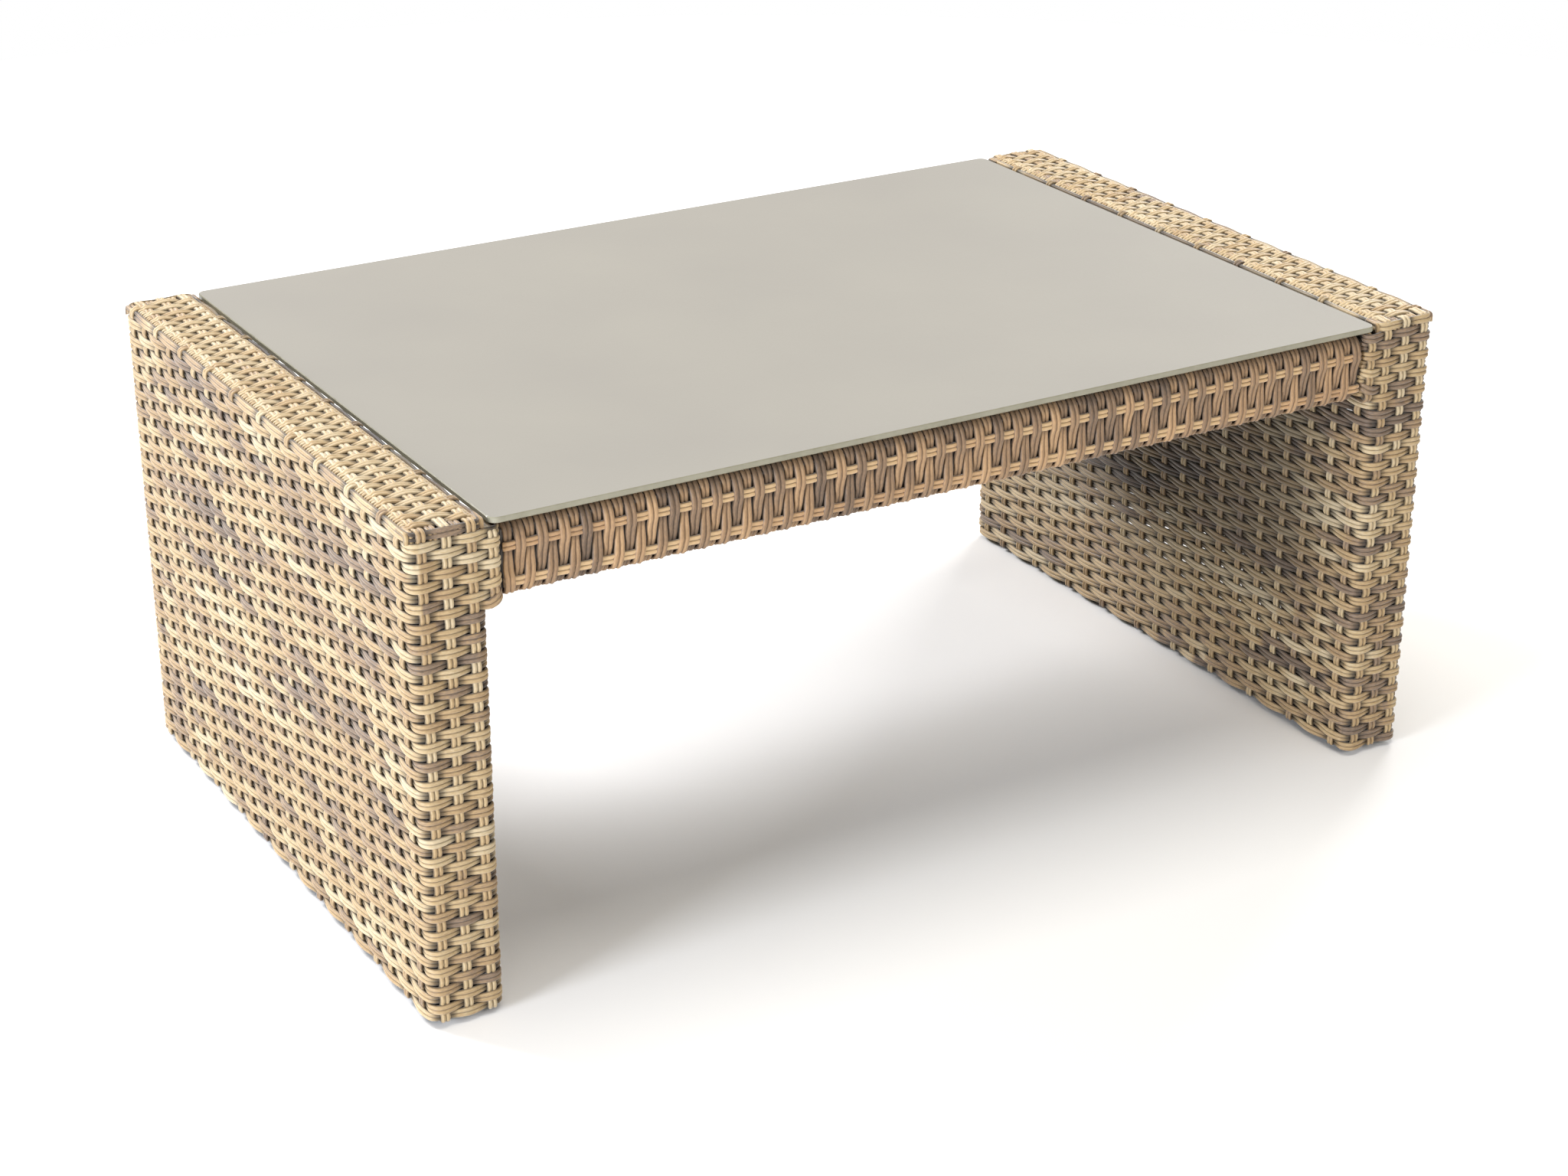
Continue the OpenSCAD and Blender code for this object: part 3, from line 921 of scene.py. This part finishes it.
def add(tree, kind, inputs=None, **settings):
    """Adds one node with its settings, and fills its inputs with values or links."""
    node = tree.nodes.new(kind)
    for key, value in settings.items():
        setattr(node, key, value)
    for key, value in (inputs or {}).items():
        if isinstance(value, bpy.types.NodeSocket):
            tree.links.new(value, node.inputs[key])
        else:
            node.inputs[key].default_value = value
    return node


def grade(ramp, stops):
    """Sets the stops of a colour ramp, given as (place, hex code)."""
    band = ramp.color_ramp
    while len(band.elements) < len(stops):
        band.elements.new(0.5)
    for element, (place, code) in zip(band.elements, stops):
        element.position = place
        element.color = linear(code)


def woven_polyethylene(name, stops):
    """Extruded polyethylene strand, dyed in runs: fine lengthwise streaks, dust and painted shade in the
    groove and along the edges, a soft sheen.
    """
    finish, tree = new_finish(name)
    tone = add(tree, "ShaderNodeAttribute", attribute_name="tone")
    place = add(tree, "ShaderNodeAttribute", attribute_name="strand").outputs["Vector"]
    long_way = add(tree, "ShaderNodeVectorMath", {0: place, 1: STREAKS}, operation="MULTIPLY")
    streak = add(tree, "ShaderNodeTexNoise", {
        "Vector": long_way.outputs[0],
        "Scale": 1.0,
        "Detail": 3.0,
        "Roughness": 0.6,
    })
    short_way = add(tree, "ShaderNodeVectorMath", {0: place, 1: MOTTLES}, operation="MULTIPLY")
    mottle = add(tree, "ShaderNodeTexNoise", {"Vector": short_way.outputs[0], "Scale": 1.0, "Detail": 2.0})
    noises = {0: streak.outputs["Fac"], 1: mottle.outputs["Fac"]}
    grain = add(tree, "ShaderNodeMath", noises, operation="ADD")
    about_zero = {0: grain.outputs[0], 1: GRAIN_REACH, 2: -GRAIN_REACH}
    spread = add(tree, "ShaderNodeMath", about_zero, operation="MULTIPLY_ADD")
    mixed = add(tree, "ShaderNodeMath", {0: tone.outputs["Fac"], 1: spread.outputs[0]}, operation="ADD")
    colour = add(tree, "ShaderNodeValToRGB", {"Fac": mixed.outputs[0]})
    grade(colour, stops)
    # Dust and painted shade darken the groove and the edges.
    parts = add(tree, "ShaderNodeSeparateXYZ", {"Vector": place})
    from_middle = add(tree, "ShaderNodeMath", {0: parts.outputs["Y"]}, operation="ABSOLUTE")
    open_part = add(tree, "ShaderNodeMapRange", {
        "Value": from_middle.outputs[0],
        "From Min": GROOVE_INNER,
        "From Max": GROOVE_OUTER,
        "To Min": GROOVE_SHADE,
        "To Max": 1.0,
    })
    edge_part = add(tree, "ShaderNodeMapRange", {
        "Value": from_middle.outputs[0],
        "From Min": EDGE_INNER,
        "From Max": EDGE_OUTER,
        "To Min": 1.0,
        "To Max": EDGE_SHADE,
    })
    both = {0: open_part.outputs[0], 1: edge_part.outputs[0]}
    ribs = add(tree, "ShaderNodeMath", both, operation="MULTIPLY")
    # Painted shade from the strand's attribute: where it dives beside the one that crosses it, under a
    # runner, and under the glass.
    lightness = add(tree, "ShaderNodeAttribute", attribute_name="painted_lightness").outputs["Fac"]
    dive = add(tree, "ShaderNodeMapRange", {"Value": lightness, "To Min": DIVE_SHADE, "To Max": 1.0})
    shade = add(tree, "ShaderNodeMath", {0: ribs.outputs[0], 1: dive.outputs[0]}, operation="MULTIPLY")
    shaded = add(
        tree,
        "ShaderNodeMix",
        {"Factor": 1.0, "A": colour.outputs["Color"], "B": shade.outputs[0]},
        data_type="RGBA",
        blend_type="MULTIPLY",
    )
    rough = add(tree, "ShaderNodeMapRange", {
        "Value": streak.outputs["Fac"],
        "From Min": 0.3,
        "From Max": 0.7,
        "To Min": 0.42,
        "To Max": 0.6,
    })
    bump = add(tree, "ShaderNodeBump", {"Height": grain.outputs[0], "Strength": 0.55, "Distance": 0.00012})
    surface = add(tree, "ShaderNodeBsdfPrincipled", {
        "Base Color": shaded.outputs[2],
        "Roughness": rough.outputs[0],
        "Normal": bump.outputs["Normal"],
        "IOR": 1.5,
        "Sheen Weight": 0.3,
        "Sheen Roughness": 0.4,
    })
    add(tree, "ShaderNodeOutputMaterial", {"Surface": surface.outputs[0]})
    return finish


def powder_coat():
    """Powder-coated aluminium: dark brown, with an orange peel 1.4 mm across that breaks up the shine."""
    finish, tree = new_finish("powder_coated_aluminium")
    where = add(tree, "ShaderNodeTexCoord").outputs["Object"]
    peel = add(tree, "ShaderNodeTexNoise", {"Vector": where, "Scale": 700.0, "Detail": 2.0}).outputs["Fac"]
    cloud = add(tree, "ShaderNodeTexNoise", {"Vector": where, "Scale": 14.0})
    colour = add(tree, "ShaderNodeValToRGB", {"Fac": cloud.outputs["Fac"]})
    grade(colour, [(0.3, "#3B342D"), (0.7, "#473F37")])
    bump = add(tree, "ShaderNodeBump", {"Height": peel, "Strength": 0.35, "Distance": 0.0002})
    surface = add(tree, "ShaderNodeBsdfPrincipled", {
        "Base Color": colour.outputs["Color"],
        "Roughness": 0.5,
        "IOR": 1.5,
        "Normal": bump.outputs["Normal"],
    })
    add(tree, "ShaderNodeOutputMaterial", {"Surface": surface.outputs[0]})
    return finish


def zinc_plate():
    """Zinc-plated steel: bright blue-grey metal, with faint marks 1 mm across from plating."""
    finish, tree = new_finish("zinc_plated_steel")
    where = add(tree, "ShaderNodeTexCoord").outputs["Object"]
    marks = add(tree, "ShaderNodeTexNoise", {"Vector": where, "Scale": 900.0, "Detail": 3.0})
    rough = add(tree, "ShaderNodeMapRange", {"Value": marks.outputs["Fac"], "To Min": 0.22, "To Max": 0.42})
    colour = add(tree, "ShaderNodeValToRGB", {"Fac": marks.outputs["Fac"]})
    grade(colour, [(0.3, "#B9BEC4"), (0.7, "#D2D4D6")])
    surface = add(tree, "ShaderNodeBsdfPrincipled", {
        "Base Color": colour.outputs["Color"],
        "Metallic": 1.0,
        "Roughness": rough.outputs[0],
    })
    add(tree, "ShaderNodeOutputMaterial", {"Surface": surface.outputs[0]})
    return finish


def moulded_polyamide():
    """Moulded black polyamide: a spark-eroded grain, drawn 0.8 mm across, coarser than the real one."""
    finish, tree = new_finish("moulded_polyamide")
    where = add(tree, "ShaderNodeTexCoord").outputs["Object"]
    noise = add(tree, "ShaderNodeTexNoise", {"Vector": where, "Scale": 1200.0, "Detail": 2.0})
    grain = noise.outputs["Fac"]
    colour = add(tree, "ShaderNodeValToRGB", {"Fac": grain})
    grade(colour, [(0.35, "#1C1B19"), (0.75, "#2B2A27")])
    bump = add(tree, "ShaderNodeBump", {"Height": grain, "Strength": 0.4, "Distance": 0.0001})
    surface = add(tree, "ShaderNodeBsdfPrincipled", {
        "Base Color": colour.outputs["Color"],
        "Roughness": 0.55,
        "IOR": 1.53,
        "Normal": bump.outputs["Normal"],
    })
    add(tree, "ShaderNodeOutputMaterial", {"Surface": surface.outputs[0]})
    return finish


def clear_polyurethane():
    """Cast clear polyurethane: milky in clouds 3 mm across, with a wet shine."""
    finish, tree = new_finish("clear_polyurethane")
    where = add(tree, "ShaderNodeTexCoord").outputs["Object"]
    haze = add(tree, "ShaderNodeTexNoise", {"Vector": where, "Scale": 300.0})
    colour = add(tree, "ShaderNodeValToRGB", {"Fac": haze.outputs["Fac"]})
    grade(colour, [(0.3, "#DDE2E0"), (0.7, "#F1F4F2")])
    surface = add(tree, "ShaderNodeBsdfPrincipled", {
        "Base Color": colour.outputs["Color"],
        "Roughness": 0.12,
        "IOR": 1.49,
        "Transmission Weight": 0.55,
    })
    add(tree, "ShaderNodeOutputMaterial", {"Surface": surface.outputs[0]})
    return finish


def satin_glass():
    """Etched glass with a grey ceramic backing: flat and even, with a wide soft reflection.

    The backing clouds over 200 mm. The etch is drawn 1.3 mm across, which is coarser than the real one.
    """
    finish, tree = new_finish("backed_satin_glass")
    where = add(tree, "ShaderNodeTexCoord").outputs["Object"]
    cloud = add(tree, "ShaderNodeTexNoise", {"Vector": where, "Scale": 5.0, "Detail": 4.0})
    colour = add(tree, "ShaderNodeValToRGB", {"Fac": cloud.outputs["Fac"]})
    grade(colour, [(0.3, "#8D8981"), (0.7, "#918D84")])
    etch = add(tree, "ShaderNodeTexNoise", {"Vector": where, "Scale": 800.0, "Detail": 2.0})
    rough = add(tree, "ShaderNodeMapRange", {"Value": etch.outputs["Fac"], "To Min": 0.62, "To Max": 0.78})
    surface = add(tree, "ShaderNodeBsdfPrincipled", {
        "Base Color": colour.outputs["Color"],
        "Roughness": rough.outputs[0],
        "IOR": 1.52,
    })
    add(tree, "ShaderNodeOutputMaterial", {"Surface": surface.outputs[0]})
    return finish


def glass_edge():
    """Ground and polished edge of float glass: green-grey and smooth, and it changes every 17 mm or so."""
    finish, tree = new_finish("polished_glass_edge")
    where = add(tree, "ShaderNodeTexCoord").outputs["Object"]
    run = add(tree, "ShaderNodeTexNoise", {"Vector": where, "Scale": 60.0, "Detail": 3.0})
    colour = add(tree, "ShaderNodeValToRGB", {"Fac": run.outputs["Fac"]})
    grade(colour, [(0.3, "#8A8672"), (0.7, "#979380")])
    surface = add(tree, "ShaderNodeBsdfPrincipled", {
        "Base Color": colour.outputs["Color"],
        "Roughness": 0.22,
        "IOR": 1.52,
    })
    add(tree, "ShaderNodeOutputMaterial", {"Surface": surface.outputs[0]})
    return finish


def pale_floor():
    """Matt white studio floor, even all over."""
    finish, tree = new_finish("matt_studio_floor")
    surface = add(tree, "ShaderNodeBsdfPrincipled", {"Base Color": linear("#F4F3F1"), "Roughness": 0.9})
    add(tree, "ShaderNodeOutputMaterial", {"Surface": surface.outputs[0]})
    return finish


# ---- Scene: metres ----
FLOOR_R = 2.9
FLOOR_SIDES = 96
WHITE = "#FFFFFF"
SURROUND_LIGHT = 0.10
EYE = (-1.302, -2.2175, 1.304)
EYE_DOWN = 24.1
EYE_TURN = -30.56
LENS_MM = 69.55
SENSOR_MM = 36.0


def coat_node(node, finish):
    """Gives a CAD node's own object its finish."""
    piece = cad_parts[node]
    if not piece.material_slots:
        piece.data.materials.append(finish)
    for holder in piece.material_slots:
        holder.material = finish


def coat_cad_nodes():
    """Finishes of the CAD nodes that stay in view."""
    tube, steel, foot = powder_coat(), zinc_plate(), moulded_polyamide()
    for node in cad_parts:
        if node.endswith(("_rail", "_post", "_stub")):
            coat_node(node, tube)
        elif node.endswith("_spigot") or node in ("apron_bolts", "apron_washers"):
            coat_node(node, steel)
        elif node.endswith("_foot_glides"):
            coat_node(node, foot)


def weave_panels(finish):
    """All the strands of both side panels. The two sides start their over and under one apart."""
    for side, parity, seed in ((LEFT, 0, 100), (RIGHT, 1, 200)):
        name = SIDE_NAMES[side]
        skin, cap = [f"{name}_panel_weave"], [f"{name}_cap_weave"]
        stubs = [f"{name}_front_stub_weave", f"{name}_back_stub_weave"]
        weft_rows(side, parity, seed, finish, skin)
        side_stakes(side, parity, seed + 10, finish, skin)
        arch_stakes(side, parity, seed + 20, finish, skin + cap)
        top_wefts(side, parity, seed + 30, finish, cap)
        edge_stubs(side, seed + 40, finish, cap)
        ring_stakes(side, parity, seed + 50, finish, stubs)


def weave_aprons(wrap, runner):
    """The wraps and the runners of both aprons."""
    for end, seed in ((FRONT, 300), (BACK, 400)):
        node = [f"{END_NAMES[end]}_apron_weave"]
        apron_wraps(end, seed, wrap, node)
        apron_runners(end, seed + 10, runner, node)


def area_light(name, place, aim, width, height, power, colour):
    """A softbox at place, turned towards aim, with its power in watts."""
    light = bpy.data.lights.new(name, "AREA")
    light.shape = "RECTANGLE"
    light.size = width
    light.size_y = height
    light.energy = power
    light.color = linear(colour)[:3]
    lamp = bpy.data.objects.new(name, light)
    bpy.context.scene.collection.objects.link(lamp)
    lamp.location = place
    lamp.rotation_euler = (Vector(aim) - Vector(place)).to_track_quat("-Z", "Y").to_euler()


def studio_floor():
    """A round pale floor under the table."""
    turns = [2 * math.pi * i / FLOOR_SIDES for i in range(FLOOR_SIDES)]
    rim = [(FLOOR_R * math.cos(a), FLOOR_R * math.sin(a), 0) for a in turns]
    mesh = bpy.data.meshes.new("studio_floor")
    mesh.from_pydata(rim, [], [tuple(range(FLOOR_SIDES))])
    mesh.materials.append(pale_floor())
    floor = bpy.data.objects.new("studio_floor", mesh)
    bpy.context.scene.collection.objects.link(floor)


def surroundings():
    """Surroundings that are seen as white paper, and give only a little light."""
    world = bpy.data.worlds.new("studio_world")
    bpy.context.scene.world = world
    world.use_nodes = True
    tree = world.node_tree
    tree.nodes.clear()
    ray = add(tree, "ShaderNodeLightPath").outputs["Is Camera Ray"]
    faint = add(tree, "ShaderNodeBackground", {"Color": linear(WHITE), "Strength": SURROUND_LIGHT})
    paper = add(tree, "ShaderNodeBackground", {"Color": linear(WHITE), "Strength": 1.0})
    seen = add(tree, "ShaderNodeMixShader", {0: ray, 1: faint.outputs[0], 2: paper.outputs[0]})
    add(tree, "ShaderNodeOutputWorld", {"Surface": seen.outputs[0]})


def studio():
    """Pale floor, white surroundings, and soft lights from the back, the front, the left and the top."""
    studio_floor()
    surroundings()
    area_light("key_softbox", (-2.0, 3.3, 3.2), (0, 0, 0.2), 1.8, 1.4, 270, "#FAFBFF")
    area_light("back_right_softbox", (3.8, 2.6, 2.3), (0, 0, 0.1), 1.6, 1.2, 120, WHITE)
    area_light("front_softbox", (0.3, -4.0, 2.3), (0, 0, 0.1), 1.6, 1.2, 78, "#FFFDFA")
    area_light("left_softbox", (-3.3, -0.9, 0.8), (-0.4, -0.2, 0.2), 1.0, 0.8, 120, "#EEF4FF")
    area_light("top_softbox", (0.0, -0.3, 5.0), (0, 0, 0), 3.0, 3.0, 165, "#FFFCF6")


def camera():
    """A camera in front of the table's left end, looking down at it."""
    lens = bpy.data.cameras.new("view")
    lens.sensor_width = SENSOR_MM
    lens.lens = LENS_MM
    lens.clip_end = 100.0
    eye = bpy.data.objects.new("view", lens)
    bpy.context.scene.collection.objects.link(eye)
    eye.location = EYE
    eye.rotation_euler = (math.radians(90 - EYE_DOWN), 0.0, math.radians(EYE_TURN))
    bpy.context.scene.camera = eye


def main():
    """Dresses the frame, lights it and sets the camera."""
    coat_cad_nodes()
    weave_panels(woven_polyethylene("woven_panel_strand", PANEL_TONES))
    wrap = woven_polyethylene("woven_apron_wrap", WRAP_TONES)
    runner = woven_polyethylene("woven_apron_runner", RUNNER_TONES)
    weave_aprons(wrap, runner)
    glass_sheet(satin_glass(), glass_edge())
    bumper_dots(clear_polyurethane())
    studio()
    camera()
    bpy.context.scene.view_settings.view_transform = "Standard"


main()
